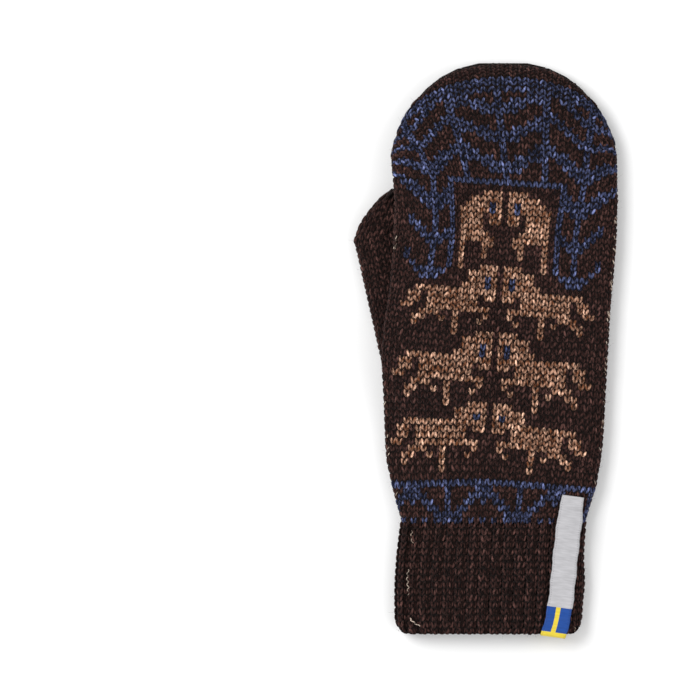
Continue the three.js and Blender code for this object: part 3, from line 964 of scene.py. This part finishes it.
def ribbon_mesh():
    """A thin closed strip, with millimetres down the ribbon and the share across it as its UVs."""
    across = np.linspace(-1, 1, 17)
    points, marks = [], []
    for at, slope, lean, distance in ribbon_rows():
        side = ribbon_side + Vector((0, 0, slope))
        out = Vector((0, 0, math.cos(lean))) + ribbon_down * math.sin(lean)
        wide = blend(*RIBBON_WIDE, min(distance / RIBBON_LONG / RIBBON_NARROW, 1)) / 2
        wide *= TAIL_NARROW if lean == math.pi else 1
        mm = distance / MM
        edges = [1 + 0.03 * math.sin(mm * 0.5 + 2 * k) + 0.012 * math.sin(mm * 1.7 + k) for k in (0, 1)]
        for face in (1, -1):
            for share in across[::face]:
                curl = 0.22 * share**2 * math.sin(mm * 0.38 + 2 * share) * (lean == 0)
                wave = edges[0] if share < 0 else edges[1]
                points.append(at + side * share * wide * wave + out * (face * RIBBON_THICK / 2 + curl * MM))
                marks.append(((share + 1) / 2, mm))
    count = len(across) * 2
    index = np.arange(len(points)).reshape(-1, count)
    after = np.roll(index, -1, axis=1)
    walls = np.stack([index[:-1], index[1:], after[1:], after[:-1]], axis=-1).reshape(-1, 4)
    piece = new_mesh("ribbon_label", [tuple(p) for p in points], [walls, index[:1], index[-1:, ::-1]])
    layer = piece.data.uv_layers.new(name="weave")
    corners = np.empty(len(piece.data.loops), dtype=np.int32)
    piece.data.loops.foreach_get("vertex_index", corners)
    layer.data.foreach_set("uv", np.array(marks, dtype=np.float32)[corners].ravel())
    return piece


# Satin: long floats of thread give a soft streaky gloss down the ribbon, over cross ribs 0.35 mm
# apart. The streaks of gloss are painted into its colour, as painted highlight and shade. The
# selvedges are a little darker, with a row of fine stitches just inside each. Places across the
# ribbon are shares of its width, from its middle for the selvedges and their stitches.
CROSS_RIBS_MM = 0.35
SELVEDGE = (0.44, 0.49)
STITCHING_OUT = 0.425
STITCHING_WIDE = 0.013
STITCHING_MM = 1.1


def satin_ribbon():
    material, tree = new_material("woven_satin_ribbon")
    place = add_node(tree, "ShaderNodeUVMap", uv_map="weave")
    parts = add_node(tree, "ShaderNodeSeparateXYZ", {"Vector": place.outputs["UV"]})
    across, down_mm = parts.outputs["X"], parts.outputs["Y"]

    def worked(operation, *values):
        return add_node(tree, "ShaderNodeMath", dict(enumerate(values)), operation=operation).outputs[0]

    def mixed(share, low, high):
        node = add_node(tree, "ShaderNodeMix", {"Factor": share}, data_type="RGBA")
        for name, value in (("A", low), ("B", high)):
            socket = [i for i in node.inputs if i.name == name and i.type == "RGBA"][0]
            if isinstance(value, bpy.types.NodeSocket):
                tree.links.new(value, socket)
            else:
                socket.default_value = value
        return [o for o in node.outputs if o.type == "RGBA"][0]

    grey = linear("#b3b2b5") + [1]
    blue = linear("#0f4390") + [1]
    yellow = linear("#dcc43a") + [1]
    off_stripe = worked("ABSOLUTE", worked("SUBTRACT", across, STRIPE_AT))
    ends = mixed(worked("GREATER_THAN", off_stripe, STRIPE_WIDE / 2), yellow, blue)
    ends = mixed(worked("GREATER_THAN", down_mm, CROSS_FROM_MM), ends, yellow)
    dye = mixed(worked("GREATER_THAN", down_mm, BLUE_FROM_MM), grey, ends)
    off_middle = worked("ABSOLUTE", worked("SUBTRACT", across, 0.5))
    edged = ranged(tree, off_middle, *SELVEDGE, 1.0, 0.8)
    dashes = worked("SINE", worked("MULTIPLY", down_mm, 2 * math.pi / STITCHING_MM))
    near = worked("COMPARE", off_middle, STITCHING_OUT, STITCHING_WIDE)
    stitched = worked("MULTIPLY", near, worked("GREATER_THAN", dashes, 0.0))
    edged = worked("MULTIPLY", edged, ranged(tree, stitched, 0.0, 1.0, 1.0, 0.62))
    thread = add_node(
        tree, "ShaderNodeMapping", {"Vector": place.outputs["UV"], "Scale": (2.0, 1.2, 1.0)}
    )
    thread = add_node(
        tree, "ShaderNodeTexNoise", {"Vector": thread.outputs["Vector"], "Scale": 1.0, "Detail": 3.0}
    )
    # Painted highlight and shade: the streaky gloss of the satin's floats, lightening and darkening its
    # colour.
    painted_gloss_streaks = ranged(tree, thread.outputs["Fac"], 0.3, 0.7, 0.86, 1.1)
    shade = worked("MULTIPLY", edged, painted_gloss_streaks)
    dye = add_node(tree, "ShaderNodeVectorMath", {0: dye, "Scale": shade}, operation="SCALE")
    ribs = worked("SINE", worked("MULTIPLY", down_mm, 2 * math.pi / CROSS_RIBS_MM))
    bump = add_node(
        tree, "ShaderNodeBump", {"Height": ribs, "Strength": 0.25, "Distance": 0.05 * MM}
    )
    shader = add_node(
        tree,
        "ShaderNodeBsdfPrincipled",
        {
            "Base Color": dye.outputs["Vector"],
            "Roughness": 0.45,
            "Specular IOR Level": 0.3,
            "Normal": bump.outputs["Normal"],
        },
    )
    finish_with(tree, shader)
    return material


ribbon = ribbon_mesh()
ribbon.data.materials.append(satin_ribbon())
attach(ribbon, "root")
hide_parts("label")

# A pale sheet under soft light from all round, and a camera straight above with a long lens. The
# photo's scale holds at MITTEN_MIDDLE_Z.
PHOTO_MIDDLE_X = -64.6 * MM
PHOTO_WIDE = 332.5 * MM
CAMERA_HIGH = 2.4
MITTEN_MIDDLE_Z = 10 * MM
SENSOR_MM = 36.0
FLOOR_Z = -0.5 * MM
STUDIO_LIGHT = 0.74
bpy.ops.mesh.primitive_plane_add(size=4, location=(0, 0, FLOOR_Z))
floor = bpy.context.object
floor.name = "floor"
paper, paper_tree = new_material("white_paper")
finish_with(
    paper_tree,
    add_node(paper_tree, "ShaderNodeBsdfPrincipled", {"Base Color": (0.9, 0.9, 0.9, 1), "Roughness": 0.8}),
)
floor.data.materials.append(paper)

world = bpy.data.worlds.new("studio")
world.use_nodes = True
world.node_tree.nodes["Background"].inputs["Color"].default_value = (1, 1, 1, 1)
world.node_tree.nodes["Background"].inputs["Strength"].default_value = STUDIO_LIGHT
bpy.context.scene.world = world
bpy.context.scene.view_settings.view_transform = "Standard"


def soft_light(name, place, size, watts):
    lamp = bpy.data.lights.new(name, "AREA")
    lamp.size = size
    lamp.energy = watts
    light = bpy.data.objects.new(name, lamp)
    light.location = place
    light.rotation_euler = (-Vector(place)).to_track_quat("-Z", "Y").to_euler()
    bpy.context.collection.objects.link(light)


soft_light("key", (-0.9, 0.5, 1.4), 0.9, 19)
soft_light("fill", (0.9, -0.5, 1.2), 1.2, 5)

lens = bpy.data.cameras.new("camera")
lens.sensor_width = SENSOR_MM
lens.lens = SENSOR_MM * CAMERA_HIGH / PHOTO_WIDE
lens.clip_end = 20
camera = bpy.data.objects.new("camera", lens)
camera.location = (PHOTO_MIDDLE_X, 0, CAMERA_HIGH + MITTEN_MIDDLE_Z)
bpy.context.collection.objects.link(camera)
bpy.context.scene.camera = camera
